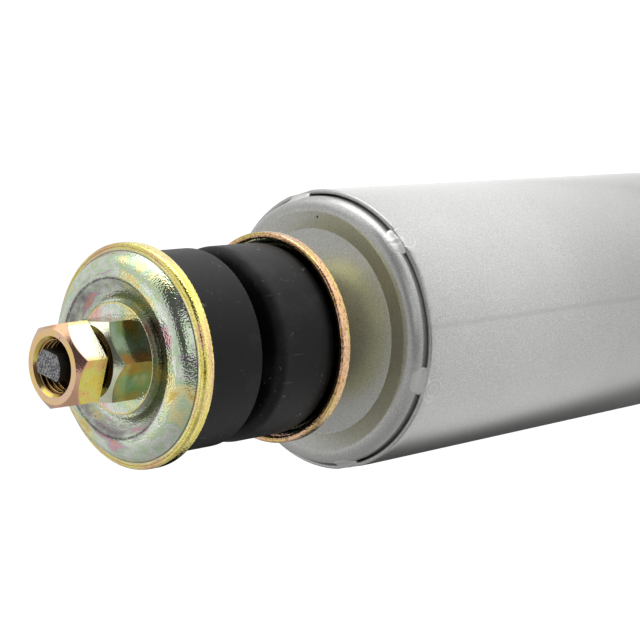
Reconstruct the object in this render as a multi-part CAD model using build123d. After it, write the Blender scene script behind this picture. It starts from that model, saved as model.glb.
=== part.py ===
from build123d import *
import os
from math import cos, pi, radians, sin, tan

# Twin-tube gas shock absorber, drawn fully extended, in millimetres.
# The axis is Z with the stem on top. The origin is the centre of the lower eye, whose bore runs along Y.

# Travel
stroke = 200.0
bump_gap = 10.0  # cap to body at full compression
bottoming_gap = 7.5  # rod end to base valve at full compression
rebound_gap = 0.3  # bumper to guide at full extension

# Fits between pieces
running_gap = 0.05  # radial, between pieces that turn or slide on each other
seat_gap = 0.02  # radial, between pieces fixed in each other
loose_gap = 0.3  # radial, for washers and plates that are only located

# Tubes, from the inside out
piston_bore = 40.0
pressure_wall = 1.5
reserve_space = 6.5  # radial, between pressure tube and reserve tube
reserve_wall = 2.0
dust_space = 2.4  # radial, between reserve tube and dust tube
dust_wall = 1.2
dust_tube_length = 232.0
dust_edge = 0.8  # rounding of its upper edge

# Lower eye
bolt_bore = 16.2
sleeve_wall = 2.9
sleeve_length = 38.0
eye_rubber = 6.5
eye_ring_wall = 3.5
eye_ring_width = 30.0
eye_lip = 2.5  # how far the rubber stands out of the ring at each side
eye_seat_depth = 0.6  # how far the ring sinks into the base cup
eye_weld_leg = 2.5
eye_weld_angle = 45.0  # from the top of the ring down its flank

# Base cup and its weld
base_wall = 2.5
base_height = 20.0
base_corner = 8.0
base_lap = 10.0  # length of the cup inside the tube
seam_size = 1.8

# Valves, the same layout in the piston and at the base
port_ring_in = 10.6
port_ring_out = 14.4
port_in_radius = 1.6
port_out_radius = 1.2
port_count_in = 6
port_count_out = 8
disc_thickness = 0.4
disc_count = 4
disc_step = 1.0  # each disc is smaller than the last by this radius
plate_thickness = 1.0
plate_radius = 16.5
plate_window = 2.0
plate_travel = 1.2
spring_closed = 3.8  # height of the light spring when the plate is fully lifted
spring_wire = 0.9
spring_turns = 2.5
spring_radius = 10.3
seat_thickness = 2.0
seat_radius = 12.0

# Base valve
foot_height = 6.5
foot_wall = 3.0
foot_slots = 4
foot_slot_width = 6.0
foot_slot_height = 4.0
base_plate_thickness = 8.0
base_plate_overlap = 2.0  # beyond the pressure tube
base_spigot = 3.6
base_plate_edge = 1.0
pin_radius = 4.0
pin_collar_radius = 7.5
pin_head_radius = 7.0
pin_head_height = 2.3
lower_washer_thickness = 1.5
lower_washer_radius = 8.0

# Rod and piston
rod_diameter = 20.0
spigot_radius = 6.0
thread_radius = 5.7
thread_tail = 2.0  # thread past the piston nut
piston_length = 18.0
piston_side_gap = 0.3
piston_edge = 0.8
band_width = 10.0
band_thickness = 1.7
band_end_gap = 0.1
hub_radius = 7.6
piston_nut_flats = 18.0
piston_nut_height = 8.0
backing_washer_thickness = 2.0
backing_washer_radius = 9.0

# Rebound stop
stop_clearance = 4.0  # rod shoulder to stop ring
stop_height = 6.0
stop_wall = 5.0
stop_edge = 0.8
stop_groove_depth = 0.6
stop_groove_width = 2.0
bumper_height = 8.0
bumper_wall = 4.2
bumper_edge = 1.2

# Rod guide, seal and closing edge
guide_spigot = 7.7
guide_flange = 12.0
guide_bush_wall = 1.95
guide_bush_length = 10.2
guide_entry = 0.5
seal_pocket_depth = 9.0
seal_wall = 8.4
lip_height = 2.6  # bottom of the seal to the edge of its main lip
lip_relief = 1.1  # clear of the rod between the two lips
lip_wall = 1.8
lip_web = 3.0  # rubber between the lips and the seal's rim
dust_lip = 1.0
garter_wire = 0.8
o_ring_section = 2.7
retaining_thickness = 2.5
retaining_gap = 0.8
roll_thickness = 2.0
roll_width = 6.5
roll_corner = 3.0

# Stem, nuts and washer
stem_radius = 6.0
nut_flats = 17.0
nut_height = 7.0
nut_spacing = 2.8  # clear thread between the two nuts
nut_face_radius = 7.9
nut_chamfer_angle = 42.0
nut_countersink = 0.7
outer_nut_turn = 37.0  # where one corner of the outer nut points, from X
jam_nut_turn = 27.0
washer_radius = 12.2
washer_thickness = 2.0
washer_edge = 0.25
thread_entry = 2.2  # stem thread inside the outer nut
thread_chamfer = 0.8
tang_radius = 3.9
tang_flats = 5.4
tang_turn = -17.0
tang_shift = 0.6  # the flats are cut off centre
tang_tip = 0.9  # past the outer nut's face

# Bushings and cup washers
bushing_radius = 22.15
bushing_corner = 2.5
bushing_edge = 0.3  # at the bracket
outer_bushing_length = 18.7
inner_bushing_length = 19.8
inner_bushing_taper = 5.0
boss_radius = 15.8
bracket_space = 5.3  # between the bushings, for the vehicle's bracket
cup_gap = 0.85
cup_wall = 1.5
cup_depth = 2.8  # rim edge to the flat that the rubber sits on
cup_crest = 2.6  # how far the crest stands out past the outer flat
cup_seat_margin = 0.6
cup_slope = 4.4
cup_crest_inset = 3.5
cup_crest_fall = 0.5
cup_ledge = 1.7
cup_ledge_height = 0.45
cup_ledge_fall = 0.3
cup_foot_bend = 1.5
cup_crest_bend = 0.8
cup_outer_bend = 4.6
cup_ledge_bend = 0.4
cup_rim_bend = 0.7
cup_edge = 0.5

# Cap, dust tube and their welds
cap_drop = 11.3  # cup seat down to the crest of the cap
cap_wall = 1.8
cap_corner = 3.2
cap_skirt = 12.0
cap_centre_rise = 3.0
cap_gap = 0.35  # between cap and dust tube, closed by the tack welds
cap_flat_margin = 4.0
cap_valley_inset = 7.65
cap_valley_depth = 0.9
cap_crest_inset = 3.4
cap_centre_bend = 7.0
cap_valley_bend = 0.4
cap_crest_bend = 1.0
tube_edge_drop = 3.9  # crest of the cap down to the dust tube's edge
cap_weld_size = 3.0
tack_count = 6
tack_turn = -51.0
tack_width = 7.0
tack_height = 1.2  # above the edge of the dust tube
tack_edge = 0.5

# Radii that follow
piston_bore_radius = piston_bore / 2
pressure_radius = piston_bore_radius + pressure_wall
reserve_bore_radius = pressure_radius + reserve_space
reserve_radius = reserve_bore_radius + reserve_wall
dust_bore_radius = reserve_radius + dust_space
dust_radius = dust_bore_radius + dust_wall
rod_radius = rod_diameter / 2
sleeve_radius = bolt_bore / 2 + sleeve_wall
eye_bore_radius = sleeve_radius + eye_rubber
eye_radius = eye_bore_radius + eye_ring_wall
disc_radius = port_ring_out - port_out_radius - 0.5 * disc_thickness
cup_radius = bushing_radius + cup_gap + cup_wall
cap_radius = dust_bore_radius - cap_gap
nut_bore = thread_radius + seat_gap
spring_space = plate_travel + spring_closed

# Heights that follow, from the eye up
base_bottom = eye_radius - eye_seat_depth
base_floor = base_bottom + base_wall
tube_bottom = base_bottom + base_height - base_lap
base_plate_low = base_floor + foot_height
base_plate_high = base_plate_low + base_plate_thickness
base_seat = base_plate_high + base_spigot
base_spring_top = base_seat + plate_thickness + spring_space
pin_top = base_spring_top + seat_thickness
disc_stack = disc_count * disc_thickness
rod_bottom = pin_top + bottoming_gap + stroke
piston_nut_low = rod_bottom + thread_tail
backing_low = piston_nut_low + piston_nut_height
discs_low = backing_low + backing_washer_thickness
piston_low = discs_low + disc_stack
piston_high = piston_low + piston_length
spring_seat_low = piston_high + plate_thickness + spring_space
rod_shoulder = spring_seat_low + seat_thickness
stop_low = rod_shoulder + stop_clearance
bumper_low = stop_low + stop_height
guide_low = bumper_low + bumper_height + rebound_gap
guide_shoulder = guide_low + guide_spigot
guide_high = guide_shoulder + guide_flange
seal_low = guide_high - seal_pocket_depth
roll_low = guide_high + retaining_thickness
reserve_top = roll_low + roll_thickness
cap_crest_z = reserve_top + stroke + bump_gap + cap_valley_depth + cap_wall
dust_top = cap_crest_z - tube_edge_drop
cup_seat = cap_crest_z + cap_drop
inner_cup_floor = cup_seat + cup_wall
groove_low = inner_cup_floor + inner_bushing_length
groove_high = groove_low + bracket_space
outer_cup_floor = groove_high + outer_bushing_length
washer_low = outer_cup_floor + cup_wall
jam_nut_low = washer_low + washer_thickness
outer_nut_low = jam_nut_low + nut_height + nut_spacing
outer_nut_high = outer_nut_low + nut_height
thread_end = outer_nut_low + thread_entry
stem_tip = outer_nut_high + tang_tip


def rounding(points):
    """Radius at each corner, cut down where two roundings would meet on a short side."""
    sides = [Vector(*after[:2]) - Vector(*point[:2]) for point, after in zip(points, points[1:] + points[:1])]
    asked = [point[2] if len(point) == 3 else 0.0 for point in points]
    reach = [radius * tan(radians(sides[i - 1].get_angle(sides[i]) / 2)) for i, radius in enumerate(asked)]
    share = [1.0] * len(points)
    for i, side in enumerate(sides):
        after = (i + 1) % len(points)
        used = reach[i] + reach[after]
        if used > 0.96 * side.length:
            share[i] = min(share[i], 0.96 * side.length / used)
            share[after] = min(share[after], 0.96 * side.length / used)
    return [radius * part for radius, part in zip(asked, share)]


def outline(points):
    """Closed outline in the half plane (radius, height); a third number rounds that corner."""
    face = make_face(Polyline(*[(point[0], point[1]) for point in points], close=True))
    for point, radius in zip(points, rounding(list(points))):
        if radius > 0:
            corner = face.vertices().sort_by_distance((point[0], point[1], 0))[0]
            face = fillet(corner, radius)
    return face


def turned(*points, arc=360.0):
    """Solid of revolution about Z."""
    return revolve(Plane.XZ * outline(points), Axis.Z, arc)


def pressed(wall, *points):
    """Turned sheet metal of one thickness, from the line along its outer face."""
    steps = [Vector(*after[:2]) - Vector(*point[:2]) for point, after in zip(points, points[1:])]
    normals = [Vector(step.Y, -step.X).normalized() for step in steps]
    inside = []
    for i, point in enumerate(points):
        before = normals[max(i - 1, 0)]
        after = normals[min(i, len(normals) - 1)]
        move = (before + after) * (wall / (1 + before.dot(after)))
        bend = before.cross(after).Z
        radius = point[2] if len(point) == 3 else 0.0
        if radius and abs(bend) > 1e-6:
            radius = max(radius - wall, 0.0) if bend < 0 else radius + wall
        inside.append((point[0] + move.X, point[1] + move.Y, radius))
    return turned(*points, *reversed(inside))


def ring(inner, outer, low, high):
    return turned((inner, low), (outer, low), (outer, high), (inner, high))


def disc_pack(inner, outer, high):
    """Valve discs, the largest against the ports at the top, as separate solids."""
    discs = []
    for number in range(disc_count):
        top = high - number * disc_thickness
        discs.append(ring(inner, outer - number * disc_step, top - disc_thickness, top))
    return Compound(children=discs)


def along_y(shape):
    """Lays a shape that was turned about Z along the eye's axis."""
    return Rot(-90, 0, 0) * shape


def drilled(shape, circle_radius, hole_radius, count, low, high):
    hole = extrude(Circle(hole_radius), high - low)
    for place in PolarLocations(circle_radius, count):
        shape -= Pos(0, 0, low) * place * hole
    return shape


def check_plate(guide, low):
    """Thin plate that lifts off the outer ports; its windows leave the inner ports open."""
    plate = ring(guide + loose_gap, plate_radius, low, low + plate_thickness)
    return drilled(plate, port_ring_in, plate_window, port_count_in, low, low + plate_thickness)


def coil_spring(low):
    """Light open spring in the space between check plate and seat."""
    rise = spring_space - spring_wire - 2 * running_gap
    path = Helix(pitch=rise / spring_turns, height=rise, radius=spring_radius)
    section = Plane(origin=path @ 0, z_dir=path % 0) * Circle(spring_wire / 2)
    return Pos(0, 0, low + running_gap + spring_wire / 2) * sweep(section, path, is_frenet=True)


def hexagon_nut(flats, height, bore, low, turn, face_radius=None):
    """Hexagon nut, chamfered on its upper face where a face radius is given."""
    corner = flats / 2 / cos(pi / 6)
    body = Pos(0, 0, low) * Rot(0, 0, turn) * extrude(RegularPolygon(corner, 6), height)
    if face_radius:
        drop = (corner - face_radius) * tan(radians(nut_chamfer_angle))
        top = low + height
        sink = top - nut_countersink
        body &= turned((0, low), (corner, low), (corner, top - drop), (face_radius, top), (0, top))
        body -= turned((0, sink), (bore, sink), (bore + nut_countersink, top), (0, top))
    return body - ring(0, bore, low, low + height)


# Lower eye
def eye_sleeve():
    half = sleeve_length / 2
    chamfer_size = sleeve_wall / 6
    tube = ring(bolt_bore / 2, sleeve_radius, -half, half)
    ends = tube.edges().filter_by(GeomType.CIRCLE)
    return along_y(chamfer(ends, chamfer_size))


def eye_bush():
    half = eye_ring_width / 2
    end = half + eye_lip
    inner = sleeve_radius + running_gap
    shoulder = eye_bore_radius - eye_rubber / 2
    return along_y(
        turned(
            (inner, -end),
            (shoulder, -end, eye_lip / 3),
            (eye_bore_radius, -half),
            (eye_bore_radius, half),
            (shoulder, end, eye_lip / 3),
            (inner, end),
        )
    )


def eye_ring():
    half = eye_ring_width / 2
    edge = eye_ring_wall / 5
    return along_y(
        turned(
            (eye_bore_radius, -half),
            (eye_radius, -half, edge),
            (eye_radius, half, edge),
            (eye_bore_radius, half),
        )
    )


def eye_weld():
    """Fillet welds on both sides of the ring, from the flank of the ring to the base cup."""
    flank = eye_radius * sin(radians(eye_weld_angle))
    foot = eye_radius * cos(radians(eye_weld_angle))
    root = flank / 2
    length = eye_ring_width - 2 * eye_ring_wall
    corners = [(root, base_bottom), (flank + eye_weld_leg, base_bottom), (flank, foot), (root, foot)]
    section = make_face(Polyline(*corners, close=True))
    bead = extrude(Plane.XZ * section, length / 2, both=True)
    bead -= along_y(ring(0, eye_radius, -length, length))
    return Compound(children=[bead, mirror(bead, Plane.YZ)])


# Base of the damper
def base_cup():
    cup = pressed(
        base_wall,
        (reserve_bore_radius, base_bottom + base_height),
        (reserve_bore_radius, base_bottom, base_corner),
        (0, base_bottom),
    )
    return cup - along_y(ring(0, eye_radius, -eye_ring_width / 2, eye_ring_width / 2))


def base_seam_weld():
    return turned(
        (reserve_bore_radius, tube_bottom),
        (reserve_bore_radius, tube_bottom - seam_size),
        (reserve_bore_radius + 0.75 * seam_size, tube_bottom - 0.75 * seam_size, 0.4 * seam_size),
        (reserve_bore_radius + seam_size, tube_bottom),
    )


def reserve_tube():
    """Outer tube, its top edge rolled in over the retaining washer."""
    roll_radius = reserve_radius - roll_width
    return turned(
        (reserve_bore_radius, tube_bottom),
        (reserve_radius, tube_bottom),
        (reserve_radius, reserve_top, roll_corner),
        (roll_radius, reserve_top, roll_thickness / 3),
        (roll_radius, roll_low),
        (reserve_bore_radius, roll_low),
    )


def pressure_tube():
    return ring(piston_bore_radius, pressure_radius, base_plate_high, guide_shoulder)


def base_valve_body():
    foot_out = piston_bore_radius
    foot_in = foot_out - foot_wall
    bore = pin_radius + seat_gap
    plate = pressure_radius + base_plate_overlap
    spigot = piston_bore_radius - seat_gap
    body = turned(
        (bore, base_plate_low),
        (foot_in, base_plate_low),
        (foot_in, base_floor),
        (foot_out, base_floor),
        (foot_out, base_plate_low),
        (plate, base_plate_low, base_plate_edge),
        (plate, base_plate_high),
        (spigot, base_plate_high),
        (spigot, base_seat),
        (bore, base_seat),
    )
    body = drilled(body, port_ring_in, port_in_radius, port_count_in, base_plate_low, base_seat)
    body = drilled(body, port_ring_out, port_out_radius, port_count_out, base_plate_low, base_seat)
    slot = Box(2 * foot_out, foot_slot_width, foot_slot_height, align=(Align.MIN, Align.CENTER, Align.MIN))
    for number in range(foot_slots):
        body -= Pos(0, 0, base_floor) * Rot(0, 0, 360 / foot_slots * number) * slot
    return body


def base_valve_pin():
    """Stepped pin that holds the discs under the body and the spring above it."""
    head_top = base_plate_low - disc_stack - lower_washer_thickness
    return turned(
        (0, head_top - pin_head_height),
        (pin_head_radius, head_top - pin_head_height, pin_head_height / 2),
        (pin_head_radius, head_top),
        (pin_radius, head_top),
        (pin_radius, base_seat),
        (pin_collar_radius, base_seat),
        (pin_collar_radius, base_spring_top),
        (seat_radius, base_spring_top),
        (seat_radius, pin_top, seat_thickness / 4),
        (0, pin_top),
    )


def lower_valve_washer():
    top = base_plate_low - disc_stack
    return ring(pin_radius + loose_gap, lower_washer_radius, top - lower_washer_thickness, top)


# Piston
def piston():
    side = piston_bore_radius - piston_side_gap
    groove = piston_bore_radius - running_gap - band_thickness - running_gap
    middle = (piston_low + piston_high) / 2
    half_groove = band_width / 2 + band_end_gap
    bore = spigot_radius + seat_gap
    body = turned(
        (bore, piston_low),
        (side, piston_low, piston_edge),
        (side, middle - half_groove),
        (groove, middle - half_groove),
        (groove, middle + half_groove),
        (side, middle + half_groove),
        (side, piston_high, piston_edge),
        (hub_radius, piston_high),
        (hub_radius, spring_seat_low),
        (bore, spring_seat_low),
    )
    body = drilled(body, port_ring_in, port_in_radius, port_count_in, piston_low, piston_high)
    return drilled(body, port_ring_out, port_out_radius, port_count_out, piston_low, piston_high)


def piston_band():
    middle = (piston_low + piston_high) / 2
    outer = piston_bore_radius - running_gap
    return ring(outer - band_thickness, outer, middle - band_width / 2, middle + band_width / 2)


# Rod
def piston_rod():
    """Chromed rod with the piston spigot below and the threaded stem and flatted tang above."""
    groove_low = stop_low + (stop_height - stop_groove_width) / 2
    groove_high = groove_low + stop_groove_width
    groove_radius = rod_radius - stop_groove_depth
    chamfer_start = thread_end - thread_chamfer
    shaft = turned(
        (0, rod_bottom),
        (thread_radius - thread_chamfer, rod_bottom),
        (thread_radius, rod_bottom + thread_chamfer),
        (thread_radius, backing_low),
        (spigot_radius, backing_low),
        (spigot_radius, rod_shoulder),
        (rod_radius, rod_shoulder),
        (rod_radius, groove_low),
        (groove_radius, groove_low),
        (groove_radius, groove_high),
        (rod_radius, groove_high),
        (rod_radius, cup_seat, thread_chamfer / 2),
        (stem_radius, cup_seat),
        (stem_radius, washer_low),
        (thread_radius, washer_low),
        (thread_radius, chamfer_start),
        (thread_radius - thread_chamfer, thread_end),
        (0, thread_end),
    )
    tang = Circle(tang_radius) & Pos(tang_shift, 0) * Rectangle(tang_flats, 2 * tang_radius)
    return shaft + Pos(0, 0, thread_end) * Rot(0, 0, tang_turn) * extrude(tang, stem_tip - thread_end)


def rebound_stop():
    groove_low = stop_low + (stop_height - stop_groove_width) / 2
    outer = rod_radius + stop_wall
    inner = rod_radius + seat_gap
    lip = rod_radius - stop_groove_depth + seat_gap
    return turned(
        (inner, stop_low),
        (outer, stop_low, stop_edge),
        (outer, stop_low + stop_height, stop_edge),
        (inner, stop_low + stop_height),
        (inner, groove_low + stop_groove_width - seat_gap),
        (lip, groove_low + stop_groove_width - seat_gap),
        (lip, groove_low + seat_gap),
        (inner, groove_low + seat_gap),
    )


def rebound_bumper():
    inner = rod_radius + loose_gap
    outer = rod_radius + bumper_wall
    top = bumper_low + bumper_height
    return turned((inner, bumper_low), (outer, bumper_low), (outer, top, bumper_edge), (inner, top))


# Guide and seal
def rod_guide():
    spigot = piston_bore_radius - seat_gap
    flange = reserve_bore_radius - seat_gap
    step = reserve_bore_radius - o_ring_section - running_gap
    bore = rod_radius + running_gap + guide_bush_wall
    pocket = rod_radius + seal_wall + seat_gap
    return turned(
        (bore, guide_low),
        (spigot, guide_low),
        (spigot, guide_shoulder),
        (flange, guide_shoulder),
        (flange, guide_high - o_ring_section - 2 * running_gap),
        (step, guide_high - o_ring_section - 2 * running_gap),
        (step, guide_high),
        (pocket, guide_high),
        (pocket, seal_low),
        (bore, seal_low),
    )


def guide_bush():
    inner = rod_radius + running_gap
    low = guide_low + guide_entry
    return ring(inner, inner + guide_bush_wall, low, low + guide_bush_length)


def guide_o_ring():
    centre = reserve_bore_radius - running_gap - o_ring_section / 2
    return Pos(0, 0, guide_high - running_gap - o_ring_section / 2) * Torus(centre, o_ring_section / 2)


def rod_seal():
    """Lip seal: a main lip with its garter spring below, a dust lip above."""
    outer = rod_radius + seal_wall
    lip = rod_radius + running_gap
    top = guide_high - 2 * running_gap
    low = seal_low + 2 * running_gap
    lip_z = low + lip_height
    relief = lip + lip_relief
    back = relief + lip_wall
    rim = outer - seal_wall / 3
    web = top - lip_web
    body = turned(
        (outer, low),
        (outer, top),
        (lip + 2 * dust_lip, top),
        (lip, top - dust_lip),
        (relief, top - 2 * dust_lip),
        (relief, web),
        (lip, lip_z),
        (lip + lip_height / 2, low + lip_height / 3),
        (back, low + lip_height / 2),
        (back, web),
        (rim, web),
        (rim, low),
    )
    groove = Pos(0, 0, lip_z) * Torus(back + garter_wire / 4, garter_wire / 2 + running_gap)
    return body - groove


def seal_spring():
    back = rod_radius + running_gap + lip_relief + lip_wall
    lip_z = seal_low + 2 * running_gap + lip_height
    return Pos(0, 0, lip_z) * Torus(back + garter_wire / 4, garter_wire / 2)


def retaining_washer():
    outer = reserve_bore_radius - seat_gap
    return ring(rod_radius + retaining_gap, outer, guide_high, roll_low)


# Top mounting
def cup_washer():
    """Dished washer, drawn open downwards with the flat that the rubber sits on at height 0."""
    seat = washer_radius + cup_seat_margin
    crest_in = seat + cup_slope
    crest_out = cup_radius - cup_crest_inset
    ledge = cup_radius - cup_ledge
    crest_z = cup_wall + cup_crest
    return pressed(
        cup_wall,
        (stem_radius + loose_gap, cup_wall),
        (seat, cup_wall, cup_foot_bend),
        (crest_in, crest_z, cup_crest_bend),
        (crest_out, crest_z - cup_crest_fall, cup_outer_bend),
        (ledge, cup_ledge_height, cup_ledge_bend),
        (cup_radius, cup_ledge_height - cup_ledge_fall, cup_rim_bend),
        (cup_radius, -cup_depth, cup_edge),
    )


def outer_bushing():
    """Rubber bushing with the boss that fills the bracket's hole."""
    bore = stem_radius + seat_gap
    return turned(
        (bore, groove_low),
        (boss_radius, groove_low),
        (boss_radius, groove_high),
        (bushing_radius, groove_high, bushing_edge),
        (bushing_radius, outer_cup_floor, bushing_corner),
        (bore, outer_cup_floor),
    )


def inner_bushing():
    """Rubber bushing that tapers into the inner cup."""
    bore = stem_radius + seat_gap
    return turned(
        (bore, inner_cup_floor),
        (bushing_radius, inner_cup_floor, inner_bushing_taper),
        (bushing_radius, groove_low, bushing_corner),
        (bore, groove_low),
    )


def plain_washer():
    return turned(
        (stem_radius + loose_gap, washer_low),
        (washer_radius, washer_low),
        (washer_radius, jam_nut_low, washer_edge),
        (stem_radius + loose_gap, jam_nut_low),
    )


# Cap and dust tube
def dust_cap():
    """Pressed cap: raised centre, shallow groove, rounded rim and a skirt inside the dust tube."""
    centre_z = cap_crest_z + cap_centre_rise
    return pressed(
        cap_wall,
        (rod_radius + seat_gap, centre_z),
        (rod_radius + cap_flat_margin, centre_z, cap_centre_bend),
        (cap_radius - cap_valley_inset, cap_crest_z - cap_valley_depth, cap_valley_bend),
        (cap_radius - cap_crest_inset, cap_crest_z, cap_crest_bend),
        (cap_radius, cap_crest_z, cap_corner),
        (cap_radius, cap_crest_z - cap_skirt),
    )


def cap_weld():
    under = cap_crest_z + cap_centre_rise - cap_wall
    return turned(
        (rod_radius + seat_gap, under),
        (rod_radius + seat_gap, under - cap_weld_size),
        (rod_radius + cap_weld_size, under),
    )


def dust_tube():
    low = dust_top - dust_tube_length
    edge = dust_wall / 4
    return turned(
        (dust_bore_radius, low),
        (dust_radius, low, edge),
        (dust_radius, dust_top, dust_edge),
        (dust_bore_radius, dust_top),
    )


def tack_welds():
    """Short beads that join the edge of the dust tube to the shoulder of the cap."""
    arc = 360 * tack_width / (2 * pi * dust_radius)
    wall_middle = cap_radius - cap_wall / 2
    bead = turned(
        (wall_middle, dust_top),
        (dust_radius - dust_edge, dust_top),
        (dust_radius - dust_edge, dust_top + tack_height, tack_edge),
        (cap_radius - cap_corner / 4, cap_crest_z - cap_corner / 3, tack_edge),
        (cap_radius - cap_corner / 2, cap_crest_z - 2 * cap_corner / 3),
        arc=arc,
    )
    bead -= dust_cap()
    turns = [tack_turn - arc / 2 + 360 / tack_count * number for number in range(tack_count)]
    return Compound(children=[Rot(0, 0, turn) * bead for turn in turns])


parts = {
    "eye_sleeve": eye_sleeve(),
    "eye_bush": eye_bush(),
    "eye_ring": eye_ring(),
    "eye_weld": eye_weld(),
    "base_cup": base_cup(),
    "base_seam_weld": base_seam_weld(),
    "reserve_tube": reserve_tube(),
    "pressure_tube": pressure_tube(),
    "base_valve_body": base_valve_body(),
    "base_valve_pin": base_valve_pin(),
    "base_valve_discs": disc_pack(pin_radius + loose_gap, disc_radius, base_plate_low),
    "lower_valve_washer": lower_valve_washer(),
    "base_check_plate": check_plate(pin_collar_radius, base_seat),
    "base_check_spring": coil_spring(base_seat + plate_thickness),
    "piston": piston(),
    "piston_band": piston_band(),
    "piston_nut": hexagon_nut(piston_nut_flats, piston_nut_height, nut_bore, piston_nut_low, 0),
    "backing_washer": ring(spigot_radius + seat_gap, backing_washer_radius, backing_low, discs_low),
    "rebound_valve_discs": disc_pack(spigot_radius + seat_gap, disc_radius, piston_low),
    "piston_check_plate": check_plate(hub_radius, piston_high),
    "piston_check_spring": coil_spring(piston_high + plate_thickness),
    "spring_seat": ring(spigot_radius + seat_gap, seat_radius, spring_seat_low, rod_shoulder),
    "rebound_stop": rebound_stop(),
    "rebound_bumper": rebound_bumper(),
    "rod_guide": rod_guide(),
    "guide_bush": guide_bush(),
    "guide_o_ring": guide_o_ring(),
    "rod_seal": rod_seal(),
    "seal_spring": seal_spring(),
    "retaining_washer": retaining_washer(),
    "piston_rod": piston_rod(),
    "cap_weld": cap_weld(),
    "dust_cap": dust_cap(),
    "dust_tube": dust_tube(),
    "tack_welds": tack_welds(),
    "inner_cup_washer": Pos(0, 0, inner_cup_floor) * Rot(180, 0, 0) * cup_washer(),
    "inner_bushing": inner_bushing(),
    "outer_bushing": outer_bushing(),
    "outer_cup_washer": Pos(0, 0, outer_cup_floor) * cup_washer(),
    "plain_washer": plain_washer(),
    "jam_nut": hexagon_nut(nut_flats, nut_height, nut_bore, jam_nut_low, jam_nut_turn, nut_face_radius),
    "outer_nut": hexagon_nut(nut_flats, nut_height, nut_bore, outer_nut_low, outer_nut_turn, nut_face_radius),
}

os.makedirs("parts", exist_ok=True)
for node, shape in parts.items():
    export_step(shape, f"parts/{node}.step")
print(f"eye to cup seat {cup_seat:.1f} mm, stroke {stroke:.0f} mm, overall {stem_tip + eye_radius:.1f} mm")
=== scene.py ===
import math
import bmesh
import bpy
from mathutils import Matrix, Vector, noise


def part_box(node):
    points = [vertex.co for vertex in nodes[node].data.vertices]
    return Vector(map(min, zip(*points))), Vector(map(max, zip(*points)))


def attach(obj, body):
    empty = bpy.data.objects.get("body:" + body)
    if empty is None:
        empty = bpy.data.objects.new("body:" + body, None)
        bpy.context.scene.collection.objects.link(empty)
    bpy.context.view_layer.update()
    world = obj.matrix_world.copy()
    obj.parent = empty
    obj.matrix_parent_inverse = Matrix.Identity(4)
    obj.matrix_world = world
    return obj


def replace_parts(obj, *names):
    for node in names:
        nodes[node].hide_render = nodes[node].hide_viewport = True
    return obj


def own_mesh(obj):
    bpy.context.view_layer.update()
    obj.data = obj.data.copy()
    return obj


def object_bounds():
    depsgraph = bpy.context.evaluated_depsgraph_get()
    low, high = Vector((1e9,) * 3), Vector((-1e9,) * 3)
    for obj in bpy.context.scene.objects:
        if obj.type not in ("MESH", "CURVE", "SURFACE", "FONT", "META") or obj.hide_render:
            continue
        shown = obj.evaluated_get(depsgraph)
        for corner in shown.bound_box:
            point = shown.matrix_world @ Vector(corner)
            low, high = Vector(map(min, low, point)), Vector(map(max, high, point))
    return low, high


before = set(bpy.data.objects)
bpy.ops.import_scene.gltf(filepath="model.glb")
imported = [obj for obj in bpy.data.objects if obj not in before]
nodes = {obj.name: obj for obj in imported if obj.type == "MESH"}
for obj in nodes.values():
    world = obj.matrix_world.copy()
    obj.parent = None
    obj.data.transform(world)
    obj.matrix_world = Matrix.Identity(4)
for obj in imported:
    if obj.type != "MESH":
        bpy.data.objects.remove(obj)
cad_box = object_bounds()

# Everything is in metres, in the frame of the solids: Z along the rod, stem on top, lower eye at the origin
MM = 0.001
WHITE = (1.0, 1.0, 1.0, 1.0)


def top_of(node):
    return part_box(node)[1].z


def bottom_of(node):
    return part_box(node)[0].z


def radius_of(node):
    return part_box(node)[1].x


# Colour and node helpers
def rgb(red, green, blue):
    """Linear colour of an sRGB colour on a scale of 255."""
    def linear(value):
        value /= 255
        return value / 12.92 if value <= 0.04045 else ((value + 0.055) / 1.055) ** 2.4
    return (linear(red), linear(green), linear(blue), 1.0)


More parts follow.
